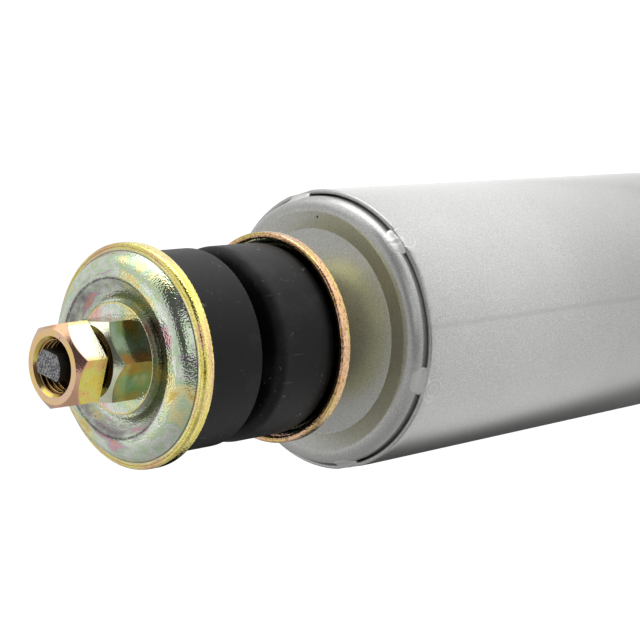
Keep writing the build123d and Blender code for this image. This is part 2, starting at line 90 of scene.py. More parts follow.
class Graph:
    """Node tree of a material or a world, with short calls for the nodes that this scene uses."""

    def __init__(self, owner):
        self.owner = owner
        owner.use_nodes = True
        self.tree = owner.node_tree
        self.tree.nodes.clear()

    def add(self, kind, inputs=None, out=0, **settings):
        node = self.tree.nodes.new(kind)
        for key, value in settings.items():
            setattr(node, key, value)
        for key, value in (inputs or {}).items():
            if isinstance(value, bpy.types.NodeSocket):
                self.tree.links.new(value, node.inputs[key])
            else:
                node.inputs[key].default_value = value
        return node.outputs[out]

    def math(self, operation, *values):
        return self.add("ShaderNodeMath", dict(enumerate(values)), operation=operation)

    def parts(self, vector):
        """x, y and z of a vector."""
        node = self.tree.nodes.new("ShaderNodeSeparateXYZ")
        self.tree.links.new(vector, node.inputs[0])
        return node.outputs

    def spread(self, value, low, high, at_low, at_high):
        """Runs from at_low, where the value is low or less, to at_high, where it is high or more."""
        return self.add("ShaderNodeMapRange", {0: value, 1: low, 2: high, 3: at_low, 4: at_high})

    def ramp(self, value, *stops):
        """stops are (position, colour or grey level)."""
        node = self.tree.nodes.new("ShaderNodeValToRGB")
        elements = node.color_ramp.elements
        while len(elements) < len(stops):
            elements.new(0.5)
        for element, (place, colour) in zip(elements, stops):
            element.position = place
            element.color = (colour, colour, colour, 1.0) if isinstance(colour, (int, float)) else colour
        self.tree.links.new(value, node.inputs[0])
        return node.outputs[0]

    def mix(self, factor, first, second):
        node = self.tree.nodes.new("ShaderNodeMix")
        node.data_type = "RGBA"
        for socket, value in ((node.inputs[0], factor), (node.inputs[6], first), (node.inputs[7], second)):
            if isinstance(value, bpy.types.NodeSocket):
                self.tree.links.new(value, socket)
            else:
                socket.default_value = value
        return node.outputs[2]

    def place(self):
        """Position on the piece, in metres, in the frame of the solids."""
        return self.add("ShaderNodeTexCoord", out=3)

    def scaled(self, vector, *factors):
        return self.add("ShaderNodeVectorMath", {0: vector, 1: factors}, operation="MULTIPLY")

    def noise(self, vector, scale, detail=3.0, rough=0.5):
        inputs = {"Vector": vector, "Scale": scale, "Detail": detail, "Roughness": rough}
        return self.add("ShaderNodeTexNoise", inputs)

    def polar(self, vector):
        """Radius, angle and height about the Z axis, in metres and radians."""
        x, y, z = self.parts(vector)
        squares = self.math("ADD", self.math("MULTIPLY", x, x), self.math("MULTIPLY", y, y))
        return self.math("SQRT", squares), self.math("ARCTAN2", y, x), z

    def band(self, value, low, high, soft):
        """1 between low and high, falling to 0 over the soft width at each side."""
        rise = self.spread(value, low - soft, low + soft, 0.0, 1.0)
        fall = self.spread(value, high - soft, high + soft, 1.0, 0.0)
        return self.math("MULTIPLY", rise, fall)

    def distance(self, vector, point):
        return self.add("ShaderNodeVectorMath", {0: vector, 1: point}, out=1, operation="DISTANCE")

    def dot(self, vector, other):
        return self.add("ShaderNodeVectorMath", {0: vector, 1: other}, out=1, operation="DOT_PRODUCT")

    def bump(self, height, strength, distance, normal=None):
        inputs = {"Height": height, "Strength": strength, "Distance": distance}
        if normal is not None:
            inputs["Normal"] = normal
        return self.add("ShaderNodeBump", inputs)

    def ray_kinds(self):
        """1 on rays seen straight from the camera or through glass, and 1 on mirrored rays."""
        path = self.tree.nodes.new("ShaderNodeLightPath").outputs
        return self.math("MAXIMUM", path["Is Camera Ray"], path["Is Transmission Ray"]), path["Is Glossy Ray"]

    def finish(self, **sockets):
        """Principled shader with these sockets; names are written with underscores."""
        inputs = {key.replace("_", " "): value for key, value in sockets.items()}
        return self.surface(self.add("ShaderNodeBsdfPrincipled", inputs))

    def surface(self, shader, kind="ShaderNodeOutputMaterial"):
        """Ends the tree with this shader, and returns its material or world."""
        output = self.tree.nodes.new(kind)
        self.tree.links.new(shader, output.inputs["Surface"])
        return self.owner


def material_graph(name):
    return Graph(bpy.data.materials.new(name))


# Materials
GOLD = rgb(206, 180, 96)
PALE_GOLD = rgb(222, 212, 160)
PINK = rgb(214, 160, 148)
MAUVE = rgb(188, 164, 186)
GREEN = rgb(182, 204, 170)
SILVER = rgb(214, 214, 208)
DARK_SPECK = rgb(74, 66, 50)
FILM = (
    (0.00, GOLD), (0.26, GOLD), (0.34, PALE_GOLD), (0.42, GREEN), (0.49, SILVER),
    (0.55, GREEN), (0.61, MAUVE), (0.67, PINK), (0.73, GOLD), (1.0, GREEN),
)
ABOVE_ALL = 2.0         # a height or radius that no piece reaches, in metres


def around(g, where, along, across):
    """Coordinates for a pattern drawn out along the turn: its scale along the turn, and across it per metre."""
    radius, angle, height = g.polar(where)
    node = g.tree.nodes.new("ShaderNodeCombineXYZ")
    for i, share in enumerate((g.math("COSINE", angle), g.math("SINE", angle))):
        g.tree.links.new(g.math("MULTIPLY", share, along), node.inputs[i])
    g.tree.links.new(g.math("MULTIPLY", g.math("ADD", radius, height), across), node.inputs[2])
    return node.outputs[0]


def plated(g, where, colour, rough=0.10, grain_depth=0.15 * MM):
    """Grain, dark pinholes and gloss that all the plated pieces share."""
    grain = g.noise(where, 2600.0, 0.5, 0.5)
    pits = g.ramp(g.noise(where, 1300.0, 2.0, 0.7), (0.27, 1.0), (0.33, 0.0))
    rare = g.ramp(g.noise(where, 160.0, 2.0, 0.5), (0.46, 0.0), (0.58, 1.0))
    colour = g.mix(g.math("MULTIPLY", pits, g.math("MULTIPLY", rare, 0.8)), colour, DARK_SPECK)
    wear = g.noise(where, 420.0, 4.0, 0.65)
    roughness = g.math("ADD", rough, g.math("MULTIPLY", wear, 0.08))
    normal = g.bump(grain, 0.6, grain_depth)
    return g.finish(Base_Color=colour, Metallic=1.0, Roughness=roughness, Normal=normal)


def cup_plating(name, rim_radius, rim_colours, rim_wear):
    """Dished washer: film of many colours, a gold rim with two creases drawn in painted shade, a scuffed ring on its
    crest, and painted shade inside the crest.
    """
    g = material_graph(name)
    where = g.place()
    radius, angle, height = g.polar(where)
    streak = g.noise(around(g, where, 1.3, 300.0), 1.0, 5.0, 0.68)
    cloud = g.noise(where, 45.0, 4.0, 0.6)
    film = g.math("ADD", g.math("MULTIPLY", streak, 1.1), g.math("MULTIPLY", cloud, 0.8))
    film = g.math("SUBTRACT", film, 0.45)
    colour = g.ramp(film, *FILM)
    rim = g.band(radius, rim_radius - 1.5 * MM, rim_radius + 1.0 * MM, 0.25 * MM)
    gold = g.noise(around(g, where, 2.2, 900.0), 1.0, 3.0, 0.6)
    gold = g.ramp(gold, (0.36, rim_colours[0]), (0.5, rim_colours[1]), (0.62, rim_colours[2]))
    worn = g.ramp(g.noise(around(g, where, 30.0, 2400.0), 1.0, 2.0, 0.6), (0.54, 0.0), (0.62, rim_wear))
    gold = g.mix(worn, gold, rgb(92, 66, 44))
    colour = g.mix(rim, colour, gold)
    scratch = g.ramp(g.noise(around(g, where, 26.0, 2600.0), 1.0, 2.0, 0.6), (0.34, 0.25), (0.50, 1.0))
    facing = g.parts(g.add("ShaderNodeNewGeometry", out=1))[2]
    back = g.ramp(g.math("MULTIPLY", facing, -1.0), (0.1, 0.0), (0.4, 0.9))
    colour = g.mix(back, colour, rgb(212, 208, 124))
    # Dark mauve patches inside the crest, mostly on the side where the angle's sine is high: painted shade.
    shade_inside_crest = g.ramp(g.noise(where, 70.0, 4.0, 0.7), (0.40, 0.0), (0.57, 0.82))
    inside = g.band(radius, CREST_RADIUS - 2.4 * MM, CREST_RADIUS + 0.2 * MM, 1.2 * MM)
    shade_inside_crest = g.math("MULTIPLY", shade_inside_crest, inside)
    shade_inside_crest = g.math("MULTIPLY", shade_inside_crest, g.spread(g.math("SINE", angle), -0.6, 0.1, 0.1, 1.0))
    colour = g.mix(shade_inside_crest, colour, rgb(112, 96, 108))
    crest = g.band(radius, CREST_RADIUS - 0.22 * MM, CREST_RADIUS + 0.22 * MM, 0.22 * MM)
    crest = g.math("MULTIPLY", crest, scratch)
    colour = g.mix(g.math("MULTIPLY", crest, 0.95), colour, rgb(50, 44, 46))
    # Two thin dark lines on the rim: painted shade in its creases.
    for inset, width in ((1.72, 0.10), (0.92, 0.05)):
        outer, inner = rim_radius - (inset - width) * MM, rim_radius - (inset + width) * MM
        crease_shade = g.band(radius, inner, outer, 0.08 * MM)
        colour = g.mix(g.math("MULTIPLY", crease_shade, 0.8), colour, rgb(66, 50, 26))
    return plated(g, where, colour)


def washer_plating(name, rim_radius):
    """Plain washer: pale green with a gold line at its edge and a dark line of painted shadow outside it."""
    g = material_graph(name)
    where = g.place()
    radius, angle, height = g.polar(where)
    film = g.noise(where, 90.0, 2.0, 0.5)
    colour = g.ramp(film, (0.34, PALE_GOLD), (0.44, GREEN), (0.54, SILVER), (0.66, PINK))
    line = g.band(radius, rim_radius - 0.42 * MM, rim_radius - 0.16 * MM, 0.08 * MM)
    colour = g.mix(g.math("MULTIPLY", line, 0.85), colour, rgb(222, 196, 92))
    # Dark line round the washer's edge: painted contact shadow.
    edge = g.band(radius, rim_radius - 0.06 * MM, ABOVE_ALL, 0.05 * MM)
    colour = g.mix(g.math("MULTIPLY", edge, 0.7), colour, rgb(88, 74, 40))
    return plated(g, where, colour)


def nut_plating(name, face_z, lit_flat, face_colours, cone_colours, flat_colours):
    """Hexagon nut: end face, chamfer and flats in different colours of one film; lit_flat is the angle of the flat
    painted paler as a painted highlight.
    """
    g = material_graph(name)
    where = g.place()
    radius, angle, height = g.polar(where)
    cloud = g.noise(where, 170.0, 2.0, 0.5)
    face = g.ramp(cloud, (0.36, face_colours[0]), (0.62, face_colours[1]))
    cone = g.ramp(cloud, (0.36, cone_colours[0]), (0.64, cone_colours[1]))
    side = g.noise(where, 150.0, 2.0, 0.5)
    side = g.ramp(side, (0.38, flat_colours[0]), (0.5, flat_colours[1]), (0.62, flat_colours[2]))
    # One flat is painted paler: a painted highlight where the softbox reflects.
    turned = g.math("ABSOLUTE", g.math("SUBTRACT", angle, math.radians(lit_flat)))
    pale = g.ramp(turned, (0.0, 1.0), (0.40, 1.0), (0.54, 0.0))
    side = g.mix(pale, side, rgb(232, 228, 204))
    # Height above the chamfer's cone, which starts at the edge of the end face
    rise = g.math("MULTIPLY", g.math("SUBTRACT", radius, FACE_RADIUS), math.tan(math.radians(NUT_CHAMFER)))
    level = g.math("SUBTRACT", g.math("ADD", height, rise), face_z)
    chamfer = g.band(level, -0.10 * MM, ABOVE_ALL, 0.06 * MM)
    edge = g.band(level, -0.22 * MM, -0.06 * MM, 0.06 * MM)
    flat_end = g.band(height, face_z - 0.04 * MM, ABOVE_ALL, 0.03 * MM)
    # Pale ring round the bore on the end face: painted highlight.
    ring = g.band(radius, FACE_RADIUS - 1.75 * MM, FACE_RADIUS - 1.55 * MM, 0.1 * MM)
    face = g.mix(g.math("MULTIPLY", ring, 0.7), face, rgb(240, 228, 186))
    bore = g.band(radius, 0.0, FACE_RADIUS - 2.0 * MM, 0.2 * MM)
    colour = g.mix(g.math("MULTIPLY", edge, 0.6), side, rgb(96, 66, 44))
    colour = g.mix(chamfer, colour, cone)
    colour = g.mix(flat_end, colour, face)
    colour = g.mix(bore, colour, rgb(176, 146, 98))
    return plated(g, where, colour, 0.12, 0.04 * MM)


def stem_finish(name, cap_z, thread_z, sawn_z, tip_z):
    """Rod: ground chrome below the cap, gold plating above it, a thread darkened as painted shade, and a sawn tang at
    the tip whose sides are painted dark as shade.
    """
    g = material_graph(name)
    where = g.place()
    radius, angle, height = g.polar(where)
    grain = g.noise(where, 2600.0, 2.0, 0.7)
    coarse = g.noise(where, 700.0, 2.0, 0.6)
    sawn = g.ramp(grain, (0.36, rgb(72, 72, 74)), (0.5, rgb(124, 124, 126)), (0.62, rgb(186, 186, 188)))
    # The tang's sides below its end face are painted near black: painted shade.
    face = g.band(height, tip_z - 0.05 * MM, ABOVE_ALL, 0.03 * MM)
    sawn = g.mix(face, rgb(44, 42, 40), sawn)
    chrome = g.noise(where, 200.0, 3.0, 0.6)
    chrome = g.ramp(chrome, (0.3, rgb(212, 214, 216)), (0.7, rgb(226, 228, 230)))
    plating = g.ramp(coarse, (0.3, rgb(176, 150, 84)), (0.7, rgb(206, 184, 120)))
    # The thread above the cup washer is painted dark: painted shade.
    thread_shade = g.ramp(coarse, (0.3, rgb(84, 66, 38)), (0.7, rgb(122, 100, 60)))
    plating = g.mix(g.band(height, thread_z, ABOVE_ALL, 0.3 * MM), plating, thread_shade)
    above = g.band(height, cap_z, ABOVE_ALL, 0.2 * MM)
    tip = g.band(height, sawn_z, ABOVE_ALL, 0.1 * MM)
    colour = g.mix(tip, g.mix(above, chrome, plating), sawn)
    roughness = g.math("ADD", g.math("MULTIPLY", above, 0.14), g.math("MULTIPLY", tip, 0.3))
    roughness = g.math("ADD", 0.1, roughness)
    metal = g.math("SUBTRACT", 1.0, g.math("MULTIPLY", tip, 0.45))
    normal = g.bump(g.math("MULTIPLY", grain, face), 0.6, 0.15 * MM)
    return g.finish(Base_Color=colour, Metallic=metal, Roughness=roughness, Normal=normal)


def rubber(name):
    """Moulded black rubber: soft mottling, fine marks along the turn, specks of dust."""
    g = material_graph(name)
    where = g.place()
    cloud = g.noise(where, 110.0, 4.0, 0.6)
    marks = g.noise(around(g, where, 9.0, 1500.0), 1.0, 3.0, 0.6)
    colour = g.ramp(cloud, (0.34, rgb(9, 9, 9)), (0.52, rgb(17, 17, 17)), (0.7, rgb(40, 40, 39)))
    dust = g.ramp(g.noise(where, 800.0, 2.0, 0.55), (0.66, 0.0), (0.72, 1.0))
    rare = g.ramp(g.noise(where, 90.0, 2.0, 0.5), (0.48, 0.0), (0.60, 0.8))
    colour = g.mix(g.math("MULTIPLY", dust, rare), colour, rgb(128, 126, 122))
    scratch = g.noise(g.scaled(where, 1.0, 1.0, 0.12), 900.0, 1.0, 0.5)
    colour = g.mix(g.ramp(scratch, (0.72, 0.0), (0.76, 0.2)), colour, rgb(110, 110, 108))
    rough = g.math("ADD", g.math("MULTIPLY", cloud, 0.16), g.math("MULTIPLY", marks, 0.10))
    rough = g.math("ADD", 0.40, rough)
    normal = g.bump(g.noise(where, 1600.0, 3.0, 0.6), 0.25, 0.06 * MM)
    normal = g.bump(marks, 0.12, 0.06 * MM, normal)
    return g.finish(Base_Color=colour, Roughness=rough, Specular_IOR_Level=0.2, Normal=normal)


def flakes(g, where):
    """Colour and surface of metallic silver paint: fine flakes of uneven brightness, a slight orange peel."""
    fine = g.noise(where, 3600.0, 2.0, 0.75)
    cloud = g.noise(where, 24.0, 3.0, 0.5)
    level = g.math("ADD", g.math("MULTIPLY", fine, 0.8), g.math("MULTIPLY", cloud, 0.2))
    colour = g.ramp(level, (0.30, rgb(156, 156, 155)), (0.5, rgb(188, 188, 186)), (0.70, rgb(216, 216, 214)))
    normal = g.bump(g.noise(where, 380.0, 2.0, 0.5), 0.06, 0.1 * MM)
    normal = g.bump(fine, 0.16, 0.05 * MM, normal)
    return colour, normal


def paint(g, colour, normal, rough=0.29):
    return g.finish(
        Base_Color=colour, Metallic=0.55, Roughness=rough, Coat_Weight=0.1, Coat_Roughness=0.2, Normal=normal
    )


def silver_paint(name):
    g = material_graph(name)
    where = g.place()
    colour, normal = flakes(g, where)
    return paint(g, colour, normal)


def bead_paint(name):
    """Paint over the tack welds: paler and duller than the paint beside them."""
    g = material_graph(name)
    where = g.place()
    colour, normal = flakes(g, where)
    return paint(g, g.mix(0.6, colour, rgb(226, 226, 224)), normal, 0.46)


def cap_paint(name, pit):
    """Silver paint of the cap, a little duller than the rest, with one dark pit."""
    g = material_graph(name)
    where = g.place()
    colour, normal = flakes(g, where)
    spot = g.ramp(g.math("MULTIPLY", g.distance(where, pit), 1000.0), (0.0, 1.0), (0.36, 1.0), (0.55, 0.0))
    colour = g.mix(spot, colour, rgb(34, 34, 36))
    return paint(g, colour, normal, 0.35)


def tube_paint(name, marks):
    """Silver paint of the dust tube, with faint rings at the marks, beside tack welds, and a darker line down its near
    side, a painted reflection.
    """
    g = material_graph(name)
    where = g.place()
    colour, normal = flakes(g, where)
    for point in marks:
        away = g.math("MULTIPLY", g.distance(where, point), 1000.0)
        inner = g.math("MULTIPLY", g.band(away, 1.5, 1.65, 0.2), 0.5)
        rings = g.math("ADD", inner, g.band(away, 2.75, 2.9, 0.22))
        colour = g.mix(g.math("MULTIPLY", rings, 0.45), colour, rgb(236, 236, 234))
        normal = g.bump(rings, 1.0, 0.09 * MM, normal)
    # Darker line along the tube's near side: a painted reflection.
    turn = g.math("MULTIPLY", g.polar(where)[1], 180.0 / math.pi)
    reflection_line = g.band(turn, REFLECTION_LINE_TURN - 0.3, REFLECTION_LINE_TURN + 0.3, 1.2)
    colour = g.mix(g.math("MULTIPLY", reflection_line, 0.42), colour, rgb(120, 120, 120))
    return paint(g, colour, normal)


def plain_metal(name, colour_low, colour_high, rough, bump=0.1):
    g = material_graph(name)
    where = g.place()
    cloud = g.noise(where, 200.0, 4.0, 0.6)
    colour = g.ramp(cloud, (0.3, colour_low), (0.7, colour_high))
    roughness = g.math("ADD", rough, g.math("MULTIPLY", cloud, 0.12))
    normal = g.bump(g.noise(g.scaled(where, 1.0, 1.0, 6.0), 900.0, 3.0), bump, 0.04 * MM)
    return g.finish(Base_Color=colour, Metallic=1.0, Roughness=roughness, Normal=normal)


def polymer(name, low, high):
    g = material_graph(name)
    where = g.place()
    cloud = g.noise(where, 300.0, 4.0, 0.6)
    colour = g.ramp(cloud, (0.3, low), (0.7, high))
    return g.finish(Base_Color=colour, Roughness=g.math("ADD", 0.4, g.math("MULTIPLY", cloud, 0.15)))


def white_floor(name, dark_turn):
    """White to the camera, with its shadows; in reflections bright on the +X side as painted light, and darker around
    dark_turn, on the -X side and near the object as painted shadow.
    """
    g = material_graph(name)
    seen, mirror = g.ray_kinds()
    pale = g.add("ShaderNodeBsdfDiffuse", {"Color": (0.8, 0.8, 0.8, 1.0)})
    glow = g.add("ShaderNodeEmission", {"Color": WHITE, "Strength": 0.75})
    both = g.add("ShaderNodeAddShader", {0: pale, 1: glow})
    where = g.place()
    across, along, _ = g.parts(where)
    away, turn, _ = g.polar(where)
    # In reflections the sector around dark_turn, the -X side and the floor near the object are painted shadow; bright
    # is painted light on the +X side.
    aside = g.math("ABSOLUTE", g.math("SUBTRACT", turn, math.radians(dark_turn)))
    aside = g.math("MULTIPLY", aside, 180.0 / math.pi)
    level = g.spread(aside, 29.0, 44.0, 0.0, 1.42)
    level = g.math("MULTIPLY", level, g.spread(away, 0.65, 1.15, 1.0, 0.58))
    level = g.math("MAXIMUM", level, g.spread(away, 0.85, 1.35, 0.0, 0.66))
    level = g.math("MULTIPLY", level, g.spread(across, -0.8, 0.2, 0.8, 1.0))
    level = g.math("MULTIPLY", level, g.spread(away, 0.1, 0.42, 0.42, 1.0))
    bright = g.spread(across, 0.05, 0.8, 0.0, 0.6)
    bright = g.math("MULTIPLY", bright, g.spread(along, -0.05, 0.35, 1.0, 0.0))
    mirrored = g.add("ShaderNodeEmission", {"Color": WHITE, "Strength": g.math("ADD", level, bright)})
    surface = g.add("ShaderNodeMixShader", {0: mirror, 1: pale, 2: mirrored})
    return g.surface(g.add("ShaderNodeMixShader", {0: seen, 1: surface, 2: both}))


def on_axis(radius, degrees, height):
    """A point from its radius, its angle from X and its height."""
    return (radius * math.cos(math.radians(degrees)), radius * math.sin(math.radians(degrees)), height)


TACK_ANGLES = [-51.0 + 60.0 * number for number in range(6)]
DUST_TOP = top_of("dust_tube")
DUST_RADIUS = radius_of("dust_tube") - 0.03 * MM        # just inside the solid, whose mesh has flat facets
CAP_TOP = DUST_TOP + 3.9 * MM
CREST_RADIUS = 17.2 * MM        # crest of the bulge on both cup washers
FACE_RADIUS = 7.9 * MM          # edge of the end face on both nuts
NUT_CHAMFER = 42.0              # degrees between the chamfer's cone and the end face
REFLECTION_LINE_TURN = -88.8               # where the painted reflection line runs along the dust tube, in degrees from X
# Angle of the flat with a painted highlight on each nut, in degrees from X
LIT_FLATS = {"outer_nut": -53.0, "jam_nut": 170.0}

by_slot = {
    "zinc": cup_plating(
        "zinc_cup", radius_of("outer_cup_washer"), (rgb(206, 192, 94), rgb(226, 214, 130), rgb(216, 180, 134)), 0.2
    ),
    "rubber": rubber("black_rubber"),
    "silver_paint": silver_paint("silver_paint"),
    "chrome": stem_finish(
        "rod_finish", CAP_TOP, top_of("outer_cup_washer"), bottom_of("outer_nut") + 2.3 * MM, top_of("piston_rod")
    ),
    "plain_steel": plain_metal("plain_steel", rgb(150, 150, 150), rgb(176, 175, 172), 0.32),
    "sintered_iron": plain_metal("sintered_iron", rgb(92, 90, 88), rgb(116, 113, 110), 0.5, 0.3),
    "bronze": plain_metal("bronze", rgb(168, 128, 74), rgb(190, 150, 92), 0.35),
    "slide_polymer": polymer("slide_polymer", rgb(60, 52, 44), rgb(82, 72, 60)),
    "stop_polymer": polymer("stop_polymer", rgb(196, 186, 160), rgb(212, 202, 178)),
}
for node in nodes.values():
    slot = node.data.materials[0].name
    node.data.materials[0] = by_slot[slot.split(".")[0]]

nodes["outer_nut"].data.materials[0] = nut_plating(
    "zinc_outer_nut", top_of("outer_nut"), LIT_FLATS["outer_nut"], (rgb(230, 198, 118), rgb(226, 190, 164)),
    (PINK, rgb(206, 170, 130)), (rgb(208, 178, 72), rgb(198, 192, 102), rgb(210, 164, 104)),
)
nodes["jam_nut"].data.materials[0] = nut_plating(
    "zinc_jam_nut", top_of("jam_nut"), LIT_FLATS["jam_nut"], (rgb(214, 206, 190), rgb(200, 212, 182)),
    (rgb(222, 222, 196), rgb(200, 210, 180)), (rgb(202, 166, 96), rgb(150, 178, 128), rgb(188, 204, 186)),
)
nodes["inner_cup_washer"].data.materials[0] = cup_plating(
    "zinc_inner_cup", radius_of("inner_cup_washer"), (rgb(190, 176, 104), rgb(204, 162, 118), rgb(214, 178, 152)), 0.55
)
nodes["plain_washer"].data.materials[0] = washer_plating("zinc_washer", radius_of("plain_washer"))
nodes["dust_cap"].data.materials[0] = cap_paint("cap_paint", on_axis(27.4 * MM, -8.0, CAP_TOP - 0.6 * MM))
dust_material = tube_paint("dust_tube_paint", [
    on_axis(DUST_RADIUS, TACK_ANGLES[0], DUST_TOP - 1.8 * MM), on_axis(DUST_RADIUS, -115.0, DUST_TOP - 2.9 * MM)
])
# Dark colour of the thread between the nuts: painted shade.
stem_thread_shade = plain_metal("stem_thread_shade", rgb(60, 48, 30), rgb(96, 78, 48), 0.3)
weld_paint = bead_paint("weld_paint")


# Pieces
def add_piece(name, mesh, material, body):
    piece = bpy.data.objects.new(name, mesh)
    bpy.context.scene.collection.objects.link(piece)
    mesh.materials.append(material)
    for polygon in mesh.polygons:
        polygon.use_smooth = True
    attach(piece, body)
    return piece


THREAD_PITCH = 1.25 * MM
STEPS_PER_TURN = 72


def helix_thread(name, root, crest, low, high, material):
    """Helical ridge between two heights, from its root radius to its crest radius, fading out at both ends."""
    mesh = bpy.data.meshes.new(name)
    work = bmesh.new()
    turns = (high - low) / THREAD_PITCH
    steps = int(turns * STEPS_PER_TURN)
    half = THREAD_PITCH * 0.5
    rows = []
    for i in range(steps + 1):
        share = i / steps
        angle = 2 * math.pi * turns * share
        z = low + (high - low) * share
        fade = min(1.0, share * turns * 3, (1 - share) * turns * 3)
        top = root + (crest - root) * max(fade, 0.02)
        ring = []
        for radius, offset in ((root, -half * 0.9), (top, -half * 0.14), (top, half * 0.14), (root, half * 0.9)):
            level = min(max(z + offset, low), high)
            ring.append(work.verts.new((radius * math.cos(angle), radius * math.sin(angle), level)))
        rows.append(ring)
    for first, second in zip(rows, rows[1:]):
        for j in range(3):
            work.faces.new((first[j], first[j + 1], second[j + 1], second[j]))
        work.faces.new((first[3], first[0], second[0], second[3]))
    work.faces.new(rows[0])
    work.faces.new(list(reversed(rows[-1])))
    bmesh.ops.recalc_face_normals(work, faces=work.faces)
    work.to_mesh(mesh)
    work.free()
    return add_piece(name, mesh, material, "rod")


NUT_BORE, NUT_CREST = 5.72 * MM, 5.3 * MM
STEM_ROOT, STEM_CREST = 5.68 * MM, 6.0 * MM
helix_thread(
    "nut_thread", NUT_BORE + 0.05 * MM, NUT_CREST,
    bottom_of("outer_nut") + 1.8 * MM, top_of("outer_nut") - 0.75 * MM, nodes["outer_nut"].data.materials[0],
)
helix_thread(
    "stem_thread", STEM_ROOT, STEM_CREST,
    top_of("jam_nut") - 0.4 * MM, bottom_of("outer_nut") + 0.4 * MM, stem_thread_shade,
)


def grid_solid(name, top, bottom, material, body):
    """Closed mesh from two grids of points, one over the other, with the same rows and columns."""
    mesh = bpy.data.meshes.new(name)
    work = bmesh.new()
    sheets = [[[work.verts.new(point) for point in row] for row in sheet] for sheet in (top, bottom)]
    rows, columns = len(top), len(top[0])
    for sheet in sheets:
        for i in range(rows - 1):
            for j in range(columns - 1):
                work.faces.new((sheet[i][j], sheet[i + 1][j], sheet[i + 1][j + 1], sheet[i][j + 1]))
    edge = [(i, 0) for i in range(rows)] + [(rows - 1, j) for j in range(1, columns)]
    edge += [(i, columns - 1) for i in range(rows - 2, -1, -1)] + [(0, j) for j in range(columns - 2, 0, -1)]
    for (i, j), (k, m) in zip(edge, edge[1:] + edge[:1]):
        work.faces.new((sheets[0][i][j], sheets[0][k][m], sheets[1][k][m], sheets[1][i][j]))
    bmesh.ops.recalc_face_normals(work, faces=work.faces)
    work.to_mesh(mesh)
    work.free()
    return add_piece(name, mesh, material, body)


def turned_shell(name, profile, steps, material, body):
    """Closed turned mesh; profile gives its outline, (radius, height) points, at an angle in degrees."""
    mesh = bpy.data.meshes.new(name)
    work = bmesh.new()
    rows = []
    for i in range(steps):
        degrees = 360.0 * i / steps
        rows.append([work.verts.new(on_axis(radius, degrees, height)) for radius, height in profile(degrees)])
    count = len(rows[0])
    for first, second in zip(rows, rows[1:] + rows[:1]):
        for j in range(count):
            k = (j + 1) % count
            work.faces.new((first[j], first[k], second[k], second[j]))
    bmesh.ops.recalc_face_normals(work, faces=work.faces)
    work.to_mesh(mesh)
    work.free()
    return add_piece(name, mesh, material, body)


def turn_between(angle, other):
    """Signed difference of two angles in degrees, from -180 to 180."""
    return (angle - other + 180.0) % 360.0 - 180.0


DUST_WALL = 1.2 * MM
EDGE_ROUND, EDGE_STEPS = 0.6 * MM, 5
TACK_HALF = 6.0                                 # half the width of a tack weld, in degrees
TACK_PINCH = 0.28 * MM                          # how far a tack weld draws the edge in
BEVEL_FROM, BEVEL_TO = -56.0, -88.0             # where the edge is dressed back, in degrees
BEVEL_DEPTH = 1.5 * MM


def dust_profile(degrees):
    """Tube outline; its edge is drawn in at each tack weld and dressed back to a bevel beside the first."""
    near = min(abs(turn_between(degrees, angle)) for angle in TACK_ANGLES)
    pinch = TACK_PINCH * max(0.0, 1.0 - (near / (TACK_HALF * 1.1)) ** 2)
    along = turn_between(degrees, BEVEL_TO) / (BEVEL_FROM - BEVEL_TO)
    bevel = 0.0
    if 0.0 < along < 1.0:
        bevel = BEVEL_DEPTH * along ** 1.3 * min(1.0, (1.0 - along) * 10.0)
    inner = DUST_RADIUS - DUST_WALL
    low = bottom_of("dust_tube")
    points = [(inner, low), (DUST_RADIUS - 0.3 * MM, low), (DUST_RADIUS, low + 0.3 * MM)]
    for depth, share in ((30.0, 0.0), (12.0, 0.0), (6.0, 0.05), (4.0, 0.25), (3.0, 0.5)):
        points.append((DUST_RADIUS - pinch * share, DUST_TOP - depth * MM))
    for step in range(EDGE_STEPS + 1):
        share = step / EDGE_STEPS
        radius = DUST_RADIUS - EDGE_ROUND * (1 - math.cos(math.pi / 2 * share)) - pinch
        height = DUST_TOP - EDGE_ROUND * (1 - math.sin(math.pi / 2 * share))
        points.append((radius, height - bevel * (1 - share) - bevel * 0.15))
    points.append((inner + 0.2 * MM - pinch, DUST_TOP - 0.1 * MM))
    points.append((inner - pinch * 0.3, DUST_TOP - 1.5 * MM))
    points.append((inner, DUST_TOP - 4.0 * MM))
    return points


dust_shell = turned_shell("dust_shell", dust_profile, 480, dust_material, "rod")
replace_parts(dust_shell, "dust_tube")


CAP_CORNER = 3.2 * MM


